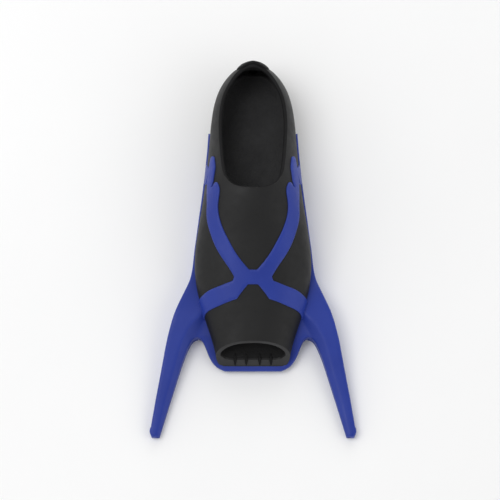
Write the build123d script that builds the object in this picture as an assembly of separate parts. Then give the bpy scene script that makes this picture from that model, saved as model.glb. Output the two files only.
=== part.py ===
from build123d import *
from math import asin, copysign, cos, pi, sin
import os

# Foot pocket of a modular long-blade swim fin, without its blade. A black rubber shoe, open at the heel
# and at the toe, sits on a hard sole plate between two blue side rails. The rails run on past the toe as
# two tapering arms that grip the edges of a blade; a blue X harness ties them together over the instep.
#
# Axes: the heel is at +Y, the arms point to -Y, +X is the wearer's side when the sole faces down, +Z is
# up and the object stands on z = 0. While modelling, y = 0 is about the front lip of the toe frame; the
# finished pieces are shifted by Y_SHIFT, so that the origin is under the middle of the whole object.

# ---- driving sizes, millimetres ------------------------------------------------------------------
TIP_Y = -69.0              # front ends of the arms
BACK_Y = 307.0             # rearmost point of the heel
Y_SHIFT = -(TIP_Y + BACK_Y) / 2

FLANGE_Z = 2.0             # lower jaw of the blade groove, from the floor up
SEAT_Z = 5.0               # underside of the sole, where the blade's upper face lies
PLATE_Z = 7.5              # top of the hard sole plate
FLOOR_Z = 10.5             # top of the rubber sole inside the shoe
FOOTBED_Z = 13.5           # top of the insole
WALL = 3.0                 # rubber wall of the shoe
STRAP = 1.5                # how far the harness stands proud of the shoe
RIB_XS = (-17.85, -6.7, 6.7, 17.85)

TONGUE_HALF = 44.0         # half width of the channel for the blade's tongue
FLANGE_HALF = 37.0         # half width between the two lower jaws under the shoe
CHANNEL_END_Y = 150.0      # rear end of the tongue channel

SCREW_YS = (60.0, 100.0)   # blade screws on the centre line, 40 mm apart
INSERT_BORE_R = 2.1        # core radius of an M5 thread
INSERT_R = 3.5
INSERT_LENGTH = 5.0
BOSS_R = 6.5

BRIDGE_YS = (128.0, 148.0)
BRIDGE_POST_X = 31.0
BRIDGE_POST_R = 4.0
BRIDGE_SCREW_R = 1.5
BRIDGE_HEAD_R = 3.0

HINGE_Y = 18.0             # flexing point of each arm
HINGE_Z = 9.5
KNUCKLE_R = 9.5
KNUCKLE_GAP = 0.35
SOCKET_FACE_Y = HINGE_Y + 4.3

TAB_HALF = 16.0            # heel pull tab
TAB_Z = (55.0, 71.5)
TAB_GAP = 0.5
TAB_THICK = 2.6

# ---- foot form: y, half width, height of the widest point, top height ----------------------------
FORM = [
    (-4, 35.0, 15.0, 31.5),
    (12, 37.2, 16.0, 35.5),
    (40, 45.2, 18.5, 42.5),
    (70, 54.2, 21.5, 51.0),
    (100, 58.3, 24.0, 60.0),
    (130, 56.1, 26.0, 70.0),
    (160, 51.3, 27.5, 81.5),
    (190, 47.4, 28.0, 83.0),
    (220, 44.5, 28.0, 78.0),
    (250, 42.0, 28.0, 75.0),
    (275, 37.1, 28.5, 77.2),
    (292, 28.9, 29.0, 78.0),
    (301, 20.7, 29.5, 62.8),
]
FORM_BACK = (307, 30)      # y and z of the rearmost point of the form
UPPER_POWER = 2.2          # superellipse exponents above and below the widest point
HEEL_POWER = 1.55          # the upper one at the heel, where the sections are more pointed
HEEL_EASE_YS = (262.0, 297.0)
LOWER_POWER = 2.5
DROP_FACTOR = 1.3          # how deep the lower half would reach if the sole did not cut it flat
SECTION_POINTS = 17
SOLE_TRIM = 0.5            # the form is made this much too deep, then cut flat

# Profile of the slanted toe opening and of the top line of the foot opening, both as (y, z)
TOE_CUT = [(0.8, SEAT_Z), (2.65, 7.5), (8.6, 13.5), (19.8, 34.5), (25.0, 46.0)]
RIM = [(161, 92), (167, 82.6), (172, 79), (185, 74), (205, 68), (225, 62.4), (245, 59), (265, 60),
       (276, 61.7), (285, 63.3), (291, 64.3), (295, 66.5), (299, 70.5), (312, 80)]

# ---- side rail and arm: y, outer x, ridge x, ridge z, facet foot x, facet foot z, inner x, bottom z 
RAIL = [
    (-69, 103.0, 96.2, 8.6, 92.9, 7.0, 90.0, 0.0),
    (-33, 96.9, 88.0, 12.0, 82.1, 9.2, 78.0, 0.0),
    (-2, 91.1, 78.7, 16.0, 72.4, 12.5, 67.0, 0.0),
    (15, 88.0, 74.0, 18.6, 66.8, 14.3, 58.0, 0.0),
    (27, 85.8, 70.3, 20.5, 60.4, 15.0, 50.0, 0.0),
    (42, 82.0, 62.0, 23.0, 51.5, 17.0, 36.0, 0.0),
    (52, 79.0, 50.5, 24.0, 47.5, 20.0, 30.0, 0.0),
    (60, 75.9, 46.0, 24.0, 42.0, 8.0, 30.0, 0.0),
    (73, 70.0, 46.0, 22.5, 42.0, 8.0, 30.0, 0.0),
    (89, 62.9, 46.0, 19.0, 42.0, 8.0, 30.0, 0.0),
    (101, 60.6, 46.0, 17.0, 42.0, 8.0, 30.0, 0.0),
    (120, 58.8, 46.0, 16.5, 42.0, 8.0, 30.0, 0.0),
    (139, 56.3, 45.0, 16.5, 41.0, 8.0, 30.0, 0.0),
    (150, 54.9, 44.0, 16.8, 40.0, 8.0, 30.0, 0.2),
    (165, 52.8, 42.0, 17.6, 38.0, 8.0, 30.0, 4.0),
    (181, 50.7, 41.0, 19.0, 37.0, 10.0, 32.0, 8.0),
    (200, 48.4, 40.0, 21.0, 37.0, 14.0, 33.0, 12.5),
    (222, 46.2, 39.0, 24.0, 36.0, 19.0, 33.0, 17.5),
    (240, 44.9, 38.0, 27.0, 36.0, 23.5, 33.0, 22.0),
]
RAIL_EDGE = 1.5            # chamfer along the outer top edge

# Plan of the gap in front of the toe, from the tip of one arm to the front lip, as (x, y)
NOTCH = [(92.8, TIP_Y), (83.8, -38.9), (73.7, -5.8), (66.8, 14.9), (63.0, 23.5), (58.7, 29.3), (55.0, 30.7),
         (51.3, 28.8), (48.0, 23.2), (42.8, 10.8), (36.5, 2.5), (28.0, -2.1)]
# Plan of the blade groove's outer edge, deeper towards the root of the arm
GROOVE = [(95.9, TIP_Y), (88.3, -38.9), (80.2, -5.8), (74.8, 14.9), (68.0, 34.0), (57.0, 49.0),
          (TONGUE_HALF, 60.0)]
FRAME_SPLIT = [(55.0, 30.7), (49.0, 52.0)]   # where the toe frame meets the rail
FRAME_TOP = [(-10.0, 8.0), (2.0, 8.0), (12.0, 10.0), (30.0, 15.0), (52.0, 20.0)]   # (y, z) of its upper side

# ---- harness outlines in plan, right half, from the middle outwards ------------------------------
STRAP_REAR_INNER = [(4.0, 89.4), (10.0, 96.2), (16.0, 104.0), (25.0, 119.8), (32.0, 135.7), (34.8, 152.4),
                    (33.3, 166.0), (33.7, 170.2), (36.9, 176.3)]
FINGER = [(41.2, 172.0), (40.1, 177.3), (38.1, 191.7), (38.7, 200.7), (41.0, 206.2), (43.2, 202.5),
          (44.6, 198.5)]
BRIDGE = [(47.9, 202.0), (56.0, 206.0), (56.0, 187.0), (48.0, 179.7), (46.1, 178.2)]
STRAP_REAR_OUTER = [(46.1, 178.2), (46.3, 160.0), (46.0, 145.3), (43.0, 129.7), (37.0, 113.2), (30.0, 100.9),
                    (18.5, 83.0)]
STRAP_FRONT_REAR = [(20.0, 79.2), (25.0, 77.6), (35.0, 74.5), (44.0, 71.8), (49.0, 69.1), (53.0, 66.8),
                    (62.0, 61.0)]
STRAP_FRONT_FRONT = [(58.0, 44.0), (49.2, 48.6), (44.0, 53.1), (36.0, 55.6), (27.0, 58.6), (15.8, 62.0)]
STRAP_CENTRE_FRONT = (5.0, 75.5)


# ---- shapes shared by several pieces -------------------------------------------------------------
def signed_power(value, exponent):
    return copysign(abs(value) ** exponent, value)


def upper_power(y):
    """The upper exponent at y, eased from the foot's to the heel's."""
    start_y, end_y = HEEL_EASE_YS
    share = min(max((y - start_y) / (end_y - start_y), 0), 1)
    return UPPER_POWER + (HEEL_POWER - UPPER_POWER) * share * share * (3 - 2 * share)


def form_section(y, half_width, widest_z, top_z, grow, floor_z):
    """Cross-section of the foot form at y, moved outwards by grow and cut flat at floor_z."""
    width = half_width + grow
    rise = top_z + grow - widest_z
    drop = (widest_z - SEAT_Z) * DROP_FACTOR + grow
    start = -asin(((widest_z - floor_z) / drop) ** (LOWER_POWER / 2))
    points = []
    for i in range(SECTION_POINTS):
        angle = start + (pi - 2 * start) * i / (SECTION_POINTS - 1)
        power = upper_power(y) if sin(angle) > 0 else LOWER_POWER
        height = rise if sin(angle) > 0 else drop
        x = width * signed_power(cos(angle), 2 / power)
        z = widest_z + height * signed_power(sin(angle), 2 / power)
        points.append(Vector(x, y, z))
    arch = Spline(*points)
    return Face(Wire([arch, Line(arch @ 1, arch @ 0)]))


def foot_form(grow, floor_z):
    """The closed foot form, grown by grow, standing on floor_z."""
    sections = [form_section(*station, grow, floor_z - SOLE_TRIM) for station in FORM]
    back_y, back_z = FORM_BACK
    body = loft(sections + [Vertex(0, back_y + grow, back_z)])
    return body & slab(floor_z, 200)


def slab(low_z, high_z):
    """Everything between two heights."""
    return Pos(0, 100, (low_z + high_z) / 2) * Box(400, 600, high_z - low_z)


def span(low_y, high_y):
    """Everything between two places along the foot."""
    return Pos(0, (low_y + high_y) / 2, 50) * Box(400, high_y - low_y, 400)


def prism(outline, low_z, high_z):
    """A closed wire in plan, drawn upwards from low_z to high_z."""
    return extrude(Pos(0, 0, low_z) * make_face(outline), high_z - low_z, dir=(0, 0, 1))


def cross_cut(outline):
    """A closed outline in the y-z plane, drawn across the whole width."""
    return extrude(Plane.YZ * make_face(outline), 120, both=True)


def flip(piece):
    """The same piece on the other side of the middle plane."""
    return mirror(piece, about=Plane.YZ)


def both_sides(piece):
    return piece + flip(piece)


def closed(points):
    """Straight lines through the points and back to the first."""
    return Polyline(*points, close=True)


# ---- cutting bodies ------------------------------------------------------------------------------
def toe_cut():
    """Everything in front of the slanted, slightly rolled toe face."""
    face_line = Spline(*TOE_CUT)
    corners = [TOE_CUT[-1], (25, 120), (-90, 120), (-90, SEAT_Z), TOE_CUT[0]]
    return cross_cut(Curve() + [face_line, Polyline(*corners)])


def rim_cut():
    """Everything above the top line of the foot opening."""
    rim_line = Spline(*RIM)
    corners = [RIM[-1], (330, 74), (330, 140), (161, 140), RIM[0]]
    return cross_cut(Curve() + [rim_line, Polyline(*corners)])


def notch_cut():
    """The gap between the two arms in front of the toe frame."""
    side = Spline(*NOTCH)
    front_x, front_y = NOTCH[0]
    corners = [NOTCH[-1], (0, NOTCH[-1][1]), (0, front_y - 20), (front_x, front_y - 20), NOTCH[0]]
    return both_sides(prism(Curve() + [side, Polyline(*corners)], -10, 120))


def blade_space():
    """The room that a blade takes: edge grooves, the channel under the sole, and the gap below it."""
    side = Spline(*GROOVE)
    front_x, front_y = GROOVE[0]
    corners = [GROOVE[-1], (TONGUE_HALF, CHANNEL_END_Y), (0, CHANNEL_END_Y), (0, front_y - 1),
               (front_x, front_y - 1), GROOVE[0]]
    groove = both_sides(prism(Curve() + [side, Polyline(*corners)], FLANGE_Z, SEAT_Z))
    below = span(-10, CHANNEL_END_Y) & slab(-10, FLANGE_Z) & Box(2 * FLANGE_HALF, 900, 100)
    return groove + below


def toe_zone():
    """The part of the plan that belongs to the toe frame."""
    (front_x, front_y), (rear_x, rear_y) = FRAME_SPLIT
    outline = closed([(0, -20), (front_x, -20), (front_x, front_y), (rear_x, rear_y), (0, rear_y)])
    return both_sides(prism(outline, -10, 60))


# ---- the pieces ----------------------------------------------------------------------------------
def sole_plate():
    """Hard plate under the foot, with a boss round each insert and holes for the bridge screws."""
    outline = Polyline((0, 13), (22, 13), (35, 58), (36, 100), (36, 152), (0, 152))
    face = make_face(outline + mirror(outline, about=Plane.YZ))
    plate = extrude(Pos(0, 0, SEAT_Z) * face, PLATE_Z - SEAT_Z, dir=(0, 0, 1))
    for y in SCREW_YS:
        plate += Pos(0, y, (SEAT_Z + FLOOR_Z) / 2) * Cylinder(BOSS_R, FLOOR_Z - SEAT_Z)
    for y in SCREW_YS:
        plate -= Pos(0, y, SEAT_Z + INSERT_LENGTH / 2) * Cylinder(INSERT_R, INSERT_LENGTH)
    for side in (-1, 1):
        plate -= Pos(side * BRIDGE_POST_X, bridge_middle(), PLATE_Z - 1) * Cylinder(BRIDGE_SCREW_R, 6)
    return plate


def solid_plate():
    """The space taken by the sole plate, holes filled."""
    filled = sole_plate()
    for y in SCREW_YS:
        filled += Pos(0, y, (SEAT_Z + FLOOR_Z) / 2) * Cylinder(BOSS_R, FLOOR_Z - SEAT_Z)
    for side in (-1, 1):
        filled += Pos(side * BRIDGE_POST_X, bridge_middle(), (SEAT_Z + PLATE_Z) / 2) * Cylinder(
            BRIDGE_SCREW_R, PLATE_Z - SEAT_Z)
    return filled


def foot_pocket(outer, cavity):
    """Rubber shoe: the form less its inside, the toe opening, the foot opening and the plate's recess."""
    return outer - cavity - toe_cut() - rim_cut() - solid_plate()


def footbed(cavity, pocket):
    """Insole on the sole of the shoe, with four raised ribs running out over the toe lip."""
    bed = (cavity & slab(FLOOR_Z, FOOTBED_Z)) - toe_cut()
    for x in RIB_XS:
        bed += Pos(x, 9.5, 12.2) * Rot(22, 0, 0) * scale(Sphere(1), by=(1.8, 6.8, 2.4))
    return bed - pocket


def rail_section(y, outer_x, ridge_x, ridge_z, foot_x, foot_z, inner_x, low_z):
    corners = [(inner_x, low_z), (outer_x, low_z), (outer_x, ridge_z - RAIL_EDGE),
               (outer_x - RAIL_EDGE, ridge_z), (ridge_x, ridge_z), (foot_x, foot_z), (inner_x, foot_z)]
    return make_face(Polyline(*[(x, y, z) for x, z in corners], close=True))


def side_blank(outer):
    """One whole side, rail and arm in one, before it is parted at the flexing point."""
    blank = loft([rail_section(*station) for station in RAIL], ruled=True)
    tip = prism(closed([(99.8, TIP_Y - 1), (104.5, TIP_Y - 1), (104.5, TIP_Y + 9)]), -10, 60)
    blank = blank & slab(0, 60)
    return blank - outer - notch_cut() - toe_zone() - blade_space() - tip


def knuckle(radius):
    return Pos(80, HINGE_Y, HINGE_Z) * Rot(0, 90, 0) * Cylinder(radius, 80)


def arm(blank):
    """The arm in front of the flexing point, with the round knuckle that turns in the rail's socket."""
    in_front = blank & span(TIP_Y - 10, HINGE_Y)
    return in_front + (blank & span(HINGE_Y - 1, 60) & knuckle(KNUCKLE_R))


def rail(blank):
    """The rail behind the flexing point, with its hollow socket."""
    return (blank & span(SOCKET_FACE_Y, 300)) - knuckle(KNUCKLE_R + KNUCKLE_GAP)


def toe_frame(outer, harness):
    """Hard band round the toe, between the shoe and the gap in front of it, let in round the straps."""
    front_y, rear_y = FRAME_TOP[0][0], FRAME_TOP[-1][0]
    plate = cross_cut(closed(FRAME_TOP + [(rear_y, SEAT_Z), (front_y, SEAT_Z)])) & toe_zone()
    return plate - notch_cut() - (outer - toe_cut()) - harness


def x_harness(outer, blank):
    """Two crossing straps over the instep, one closed band standing proud of the rubber."""
    rear_inner = Spline(*STRAP_REAR_INNER)
    rear_outer = Spline(*STRAP_REAR_OUTER)
    front_rear = Spline(*STRAP_FRONT_REAR)
    front_front = Spline(*STRAP_FRONT_FRONT)
    outline = Curve() + [
        Line((0, STRAP_REAR_INNER[0][1]), STRAP_REAR_INNER[0]),
        rear_inner,
        Line(STRAP_REAR_INNER[-1], FINGER[0]),
        Spline(*FINGER),
        Polyline(FINGER[-1], *BRIDGE),
        rear_outer,
        Line(STRAP_REAR_OUTER[-1], STRAP_FRONT_REAR[0]),
        front_rear,
        Line(STRAP_FRONT_REAR[-1], STRAP_FRONT_FRONT[0]),
        front_front,
        Line(STRAP_FRONT_FRONT[-1], STRAP_CENTRE_FRONT),
        Line(STRAP_CENTRE_FRONT, (0, STRAP_CENTRE_FRONT[1])),
        Line((0, STRAP_CENTRE_FRONT[1]), (0, STRAP_REAR_INNER[0][1])),
    ]
    shell = foot_form(STRAP, SEAT_Z) - outer
    return (shell & both_sides(prism(outline, 16, 120))) - both_sides(blank)


def bridge_middle():
    return (BRIDGE_YS[0] + BRIDGE_YS[1]) / 2


def bridge_plate():
    """Plate across the tongue channel, on two posts, that keeps the blade's tongue up."""
    length = BRIDGE_YS[1] - BRIDGE_YS[0]
    plate = Pos(0, bridge_middle(), FLANGE_Z / 2) * Box(2 * FLANGE_HALF - 1, length, FLANGE_Z)
    plate = fillet(plate.edges().filter_by(Axis.Z), 3)
    for side in (-1, 1):
        x = side * BRIDGE_POST_X
        plate += Pos(x, bridge_middle(), (FLANGE_Z + SEAT_Z) / 2) * Cylinder(BRIDGE_POST_R, SEAT_Z - FLANGE_Z)
    for side in (-1, 1):
        plate -= bridge_screw(side)
    return plate


def bridge_screw(side):
    """Countersunk screw up through a post of the bridge into the sole plate."""
    x = side * BRIDGE_POST_X
    head = Pos(x, bridge_middle(), 0.85) * Cone(BRIDGE_HEAD_R, BRIDGE_SCREW_R, 1.3)
    shank = Pos(x, bridge_middle(), (1.5 + PLATE_Z) / 2) * Cylinder(BRIDGE_SCREW_R, PLATE_Z - 1.5)
    drive = Pos(x, bridge_middle(), 0.5) * Box(0.8, 3.6, 0.7)
    return head + shank - drive


def threaded_insert(y):
    """Brass insert for a blade screw, open downwards."""
    tube = Cylinder(INSERT_R, INSERT_LENGTH) - Cylinder(INSERT_BORE_R, INSERT_LENGTH + 1)
    return Pos(0, y, SEAT_Z + INSERT_LENGTH / 2) * tube


def heel_tread():
    """Rubber heel pad that the shoe stands on, with grooves across it."""
    side = Spline((35.5, 166.0), (33.0, 200.0), (31.0, 240.0), (26.0, 272.0), (12.5, 294.0), (0, 297.0))
    outline = Curve() + [side, Polyline((0, 297.0), (0, 166.0), (35.5, 166.0))]
    pad = both_sides(prism(outline, 0, SEAT_Z))
    for y in range(176, 292, 11):
        pad -= Pos(0, y, 0) * Box(120, 3.0, 3.6)
    return pad


def heel_pull_tab(outer):
    """Curved lip behind the heel that fingers pull on."""
    low_z, high_z = TAB_Z
    heel = outer & span(280, 330) & slab(low_z - 1, high_z + 1)
    shell = Pos(0, TAB_GAP + TAB_THICK, 0) * heel - Pos(0, TAB_GAP, 0) * heel
    shell = shell & span(285, 330) & slab(low_z, high_z)
    rise = high_z - low_z - 0.5
    crown = Plane.XZ * (Pos(0, low_z + 0.5) * (Rectangle(2 * TAB_HALF, 1) + Ellipse(TAB_HALF, rise)))
    return shell & extrude(crown, 400, both=True)


def write(name, piece):
    export_step(Pos(0, Y_SHIFT, 0) * piece, f"parts/{name}.step")


def main():
    os.makedirs("parts", exist_ok=True)
    outer = foot_form(0, SEAT_Z)
    cavity = foot_form(-WALL, FLOOR_Z)
    blank = side_blank(outer)
    pocket = foot_pocket(outer, cavity)
    write("foot_pocket", pocket)
    write("footbed", footbed(cavity, pocket))
    write("sole_plate", sole_plate())
    harness = x_harness(outer, blank)
    write("x_harness", harness)
    write("toe_frame", toe_frame(outer, harness))
    write("rail_right", rail(blank))
    write("rail_left", flip(rail(blank)))
    write("arm_right", arm(blank))
    write("arm_left", flip(arm(blank)))
    write("bridge_plate", bridge_plate())
    write("bridge_screw_left", bridge_screw(-1))
    write("bridge_screw_right", bridge_screw(1))
    write("threaded_insert_front", threaded_insert(SCREW_YS[0]))
    write("threaded_insert_rear", threaded_insert(SCREW_YS[1]))
    write("heel_tread", heel_tread())
    write("heel_pull_tab", heel_pull_tab(outer))


main()
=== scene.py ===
from math import cos, pi, radians, sin

import bmesh
import bpy
import numpy as np
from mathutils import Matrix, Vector
from mathutils.geometry import delaunay_2d_cdt


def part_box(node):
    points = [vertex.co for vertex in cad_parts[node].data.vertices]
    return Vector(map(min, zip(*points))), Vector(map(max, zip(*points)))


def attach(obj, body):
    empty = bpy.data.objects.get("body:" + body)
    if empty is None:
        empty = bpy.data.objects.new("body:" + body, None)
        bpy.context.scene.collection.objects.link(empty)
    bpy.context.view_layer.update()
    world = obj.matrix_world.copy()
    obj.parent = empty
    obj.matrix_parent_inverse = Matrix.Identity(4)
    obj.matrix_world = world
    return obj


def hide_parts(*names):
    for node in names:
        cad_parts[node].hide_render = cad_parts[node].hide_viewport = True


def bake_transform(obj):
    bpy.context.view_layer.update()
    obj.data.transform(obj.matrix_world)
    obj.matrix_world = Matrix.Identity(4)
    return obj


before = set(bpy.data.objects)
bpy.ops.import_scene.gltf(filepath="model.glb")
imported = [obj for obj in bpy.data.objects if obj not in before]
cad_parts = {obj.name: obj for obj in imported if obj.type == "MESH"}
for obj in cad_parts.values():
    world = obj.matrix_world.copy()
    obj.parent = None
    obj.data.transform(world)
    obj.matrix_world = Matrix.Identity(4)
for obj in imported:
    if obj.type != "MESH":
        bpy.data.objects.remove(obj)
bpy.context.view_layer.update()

# Foot pocket of a modular long-blade fin. Shapes are worked out in millimetres in the part's working frame,
# where y = 0 lies just behind the front lip of the toe frame, and are moved into the row frame at the end.
MM = 0.001
LIP_Y = -2.1
Y_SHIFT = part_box("toe_frame")[0][1] / MM - LIP_Y

# ---- foot form: y, half width, height of the widest point, top height, reach below the widest point --------
FORM = [
    (-4, 35.0, 15.0, 31.5, 13.0),
    (12, 37.2, 16.0, 35.5, 14.3),
    (40, 45.2, 18.5, 42.5, 17.6),
    (70, 54.2, 21.5, 51.0, 21.5),
    (100, 58.3, 24.0, 60.0, 24.7),
    (130, 56.1, 26.0, 70.0, 27.3),
    (160, 51.3, 27.5, 81.5, 29.3),
    (190, 47.4, 28.0, 83.0, 29.9),
    (220, 44.5, 28.0, 78.0, 29.9),
    (250, 42.0, 28.0, 75.0, 29.9),
    (275, 37.0, 28.5, 77.2, 30.5),
    (292, 28.9, 29.0, 78.0, 30.8),
    (299, 22.8, 29.3, 69.5, 30.0),
    (303.5, 16.6, 29.6, 52.0, 27.0),
    (306.3, 8.8, 30.0, 40.0, 16.0),
    (307.3, 0.0, 30.0, 30.0, 0.0),
]
BACK_Y = FORM[-1][0]
UPPER_POWER = 2.2            # superellipse exponents above and below the widest point
HEEL_POWER = 1.55            # the upper one at the heel, where the sections are more pointed
HEEL_EASE_YS = (262.0, 297.0)
LOWER_POWER = 2.5
SOLE_Z = 5.15                # underside of the rubber, just above the seat plane of the hard parts
FOOTBED_Z = 13.5
WALL = 3.0
INNER_FLOOR_Z = 12.9         # under the insole
TOE_CUT = [(5.15, 1.2), (8.0, 3.3), (13.5, 8.4), (24.0, 14.2), (34.5, 19.8), (46.0, 26.0)]       # z, y
TOE_CORNER_RISE = 5.0        # how far the floor climbs at the ends of the toe opening
TOE_WALL_EXTRA = 1.9         # the rubber is this much thicker beside the toe opening
COLLAR_EXTRA = 3.4           # and this much thicker behind the heel, just under the rim
TOE_REACH_Y = 60.0           # behind this the shoe's cross-sections are upright
RIM = [(161, 90), (167, 82.6), (172, 79.2), (185, 74), (205, 68), (225, 62.4), (245, 59), (265, 60),
       (276, 61.7), (285, 63.3), (291, 64.4), (295, 66.7), (299, 70.8), (306, 79)]               # y, z

# ---- blue side rails: y, outer x, ridge x, ridge z, facet foot x, foot z, underside z --------
RAIL = [
    (-69, 103, 96.2, 8.6, 92.9, 7, 0), (-33, 96.9, 88, 12, 82.1, 9.2, 0), (-2, 91.1, 78.7, 16, 72.4, 12.5, 0),
    (15, 88, 74, 18.6, 66.8, 14.3, 0), (27, 85.8, 70.3, 20.5, 60.4, 15, 0), (42, 82, 62, 23, 51.5, 17, 0),
    (52, 79, 50.5, 24, 47.5, 20, 0), (60, 75.9, 46, 24, 42, 22, 0), (73, 70, 46, 22.5, 42, 21, 0),
    (89, 62.9, 46, 19, 42, 8, 0), (101, 60.6, 46, 17, 42, 8, 0), (120, 58.8, 46, 16.5, 42, 8, 0),
    (139, 56.3, 45, 16.5, 41, 8, 0), (150, 54.9, 44, 16.8, 40, 8, 0.2), (165, 52.8, 42, 17.6, 38, 8, 4),
    (181, 50.7, 41, 19, 37, 10, 8), (200, 48.4, 40, 21, 37, 14, 12.5), (222, 46.2, 39, 24, 36, 19, 17.5),
    (240, 44.9, 38, 27, 36, 23.5, 22),
]
TOE_FRAME_TOP = [(-10, 8), (2, 8), (12, 10), (30, 15), (52, 20)]       # y, z of its top beside the toe
TIP_Y = -69.0
NOTCH = [(92.8, TIP_Y), (83.8, -38.9), (73.7, -5.8), (66.8, 14.9), (63, 23.5), (58.7, 29.3), (55, 30.7),
         (51.3, 28.8), (48, 23.2), (42.8, 10.8), (36.5, 2.5), (28, LIP_Y)]
GROOVE = [(95.9, TIP_Y), (88.3, -38.9), (80.2, -5.8), (74.8, 14.9), (68, 34), (57, 49), (44, 60)]
TONGUE_HALF = 44
FLANGE_HALF = 37
CHANNEL_END_Y = 150
SOLE_PLATE = [(22, 13), (35, 58), (36, 100), (36, 152)]
FRAME_SPLIT = [(55.0, 30.7), (49.0, 52.0)]          # plan corners where the toe frame meets the rails
FRAME_END_Y = 240.0
FLANGE_Z = 2.0
SEAT_Z = 5.0
SEAM = [(57.5, 30.2), (84.9, 32.0)]          # where an arm's own mesh begins

# ---- X harness: half outline as (distance round the foot form from the middle, y) --------
STRAP_REAR_INNER = [(4, 89.4), (10, 96.2), (16, 104), (21, 112), (25.3, 119.8), (29.5, 127.7), (33, 135.7),
                    (36.9, 152.4), (36.1, 161), (35.6, 166), (36.3, 170), (38.5, 174.6)]
STRAP_HORN = [(38.5, 174.6), (41, 176.3), (43.4, 175.2), (45.9, 172.6)]
FINGER = [(48, 172.2), (46.1, 177.3), (44.8, 185.5), (43.6, 191.7), (43.9, 196), (45, 200.7), (46, 204.3),
          (48.5, 205.9), (51.3, 206.1), (53.2, 204.4), (54.4, 201.5), (55.6, 197.5), (57, 194.6)]
BRIDGE_REAR = [(57, 194.6), (59, 196.6), (64, 200), (72.4, 203.5), (82.6, 207), (92, 209.5)]
BRIDGE_FRONT = [(92, 190), (85, 187), (76, 183.6), (68.8, 180.9), (64.4, 179.7), (58.4, 178.2)]
STRAP_REAR_OUTER = [(58.4, 178.2), (56.3, 166.2), (53.7, 155.5), (51.8, 145.3), (45.7, 129.7), (38, 113.2),
                    (30.4, 100.9), (22.1, 88.9), (18.6, 83)]
STRAP_FRONT_REAR = [(20.1, 79.2), (25.2, 77.6), (35.7, 74.5), (45.8, 71.8), (52.5, 69.1), (59.8, 66.8),
                    (69, 65.6), (76, 66)]
STRAP_FRONT_FRONT = [(70, 45), (58.5, 48.6), (53.5, 50.7), (46.7, 53.1), (36.9, 55.6), (27.3, 58.6),
                     (16, 61.8)]
STRAP_CENTRE = [(13, 66.1), (5, 75.5)]
STRAP_PROUD = 1.5
FORK_APEX = (57.4, 188.6)        # sunk wedge between a strap and its bridge to the rail
FORK_FEET = [(58.8, 180.2), (62.8, 180.6)]
FORK_DEPTH = 1.3

TAB_HALF = 16.4
TAB_LOW_Z = 44.0
TAB_FOOT_Z = 56.0
TAB_TOP_Z = 71.3
TAB_THICK = 3.0
RIB_XS = (-17.85, -6.7, 6.7, 17.85)


# ---- curves and surfaces --------
def spline_through(knots, values):
    """Natural cubic spline through the values at the knots, as a function."""
    knots, values = np.asarray(knots, float), np.asarray(values, float)
    count, gap = len(knots), np.diff(knots)
    matrix, right = np.eye(count), np.zeros(count)
    for i in range(1, count - 1):
        matrix[i, i - 1:i + 2] = gap[i - 1], 2 * (gap[i - 1] + gap[i]), gap[i]
        right[i] = 6 * ((values[i + 1] - values[i]) / gap[i] - (values[i] - values[i - 1]) / gap[i - 1])
    bend = np.linalg.solve(matrix, right)

    def value(at):
        at = np.clip(at, knots[0], knots[-1])
        k = np.clip(np.searchsorted(knots, at) - 1, 0, count - 2)
        a, b = (knots[k + 1] - at) / gap[k], (at - knots[k]) / gap[k]
        curve = ((a ** 3 - a) * bend[k] + (b ** 3 - b) * bend[k + 1]) * gap[k] ** 2 / 6
        return a * values[k] + b * values[k + 1] + curve
    return value


def length_along(points):
    return np.r_[0, np.cumsum(np.linalg.norm(np.diff(points, axis=0), axis=1))]


def resample(points, step):
    """The same polyline with its points about one step apart, corners rounded off by no more than that."""
    points = np.asarray(points, float)
    run = length_along(points)
    at = np.linspace(0, run[-1], max(2, int(run[-1] / step) + 1))
    return np.stack([np.interp(at, run, column) for column in points.T], axis=1)


def curve_through(points, step=1.0):
    """Smooth curve through the points, sampled about one step apart."""
    points = np.asarray(points, float)
    run = length_along(points)
    at = np.linspace(0, run[-1], max(2, int(run[-1] / step) + 1))
    return np.stack([spline_through(run, column)(at) for column in points.T], axis=1)


FORM_ROOTS = np.sqrt(BACK_Y - np.array([row[0] for row in FORM]))[::-1]
FORM_COLUMNS = [spline_through(FORM_ROOTS, [row[k] for row in FORM][::-1]) for k in (1, 2, 3, 4)]
RIM_LINE = spline_through([y for y, z in RIM], [z for y, z in RIM])
TOE_LINE = spline_through([z for z, y in TOE_CUT], [y for z, y in TOE_CUT])


def form_columns(y):
    root = np.sqrt(np.maximum(BACK_Y - np.asarray(y, float), 0))
    return [column(root) for column in FORM_COLUMNS]


def upper_power(y):
    return UPPER_POWER + (HEEL_POWER - UPPER_POWER) * ramp(y, *HEEL_EASE_YS)


def ramp(value, low, high):
    """Smooth step from 0 at low to 1 at high."""
    part = np.clip((np.asarray(value, float) - low) / (high - low), 0, 1)
    return part * part * (3 - 2 * part)


def form_point(y, angle):
    """(x, z) on the foot form: angle is pi/2 on top, 0 at the widest point and negative underneath."""
    half, widest_z, top_z, reach = form_columns(y)
    up = np.sin(angle) >= 0
    power = np.where(up, upper_power(y), LOWER_POWER)
    across = np.abs(np.cos(angle)) ** (2 / power)
    along = np.abs(np.sin(angle)) ** (2 / power)
    return half * across, widest_z + np.where(up, top_z - widest_z, -reach) * along


def top_angle(y, height):
    """Angle at which the form at y reaches this height."""
    half, widest_z, top_z, reach = form_columns(y)
    part = np.clip((height - widest_z) / np.maximum(top_z - widest_z, 1e-6), 0, 1)
    return np.arcsin(part ** (upper_power(y) / 2))


def bottom_angle(y):
    half, widest_z, top_z, reach = form_columns(y)
    part = np.clip((widest_z - SOLE_Z) / np.maximum(reach, 1e-6), 0, 1)
    return -np.arcsin(part ** (LOWER_POWER / 2))


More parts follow.
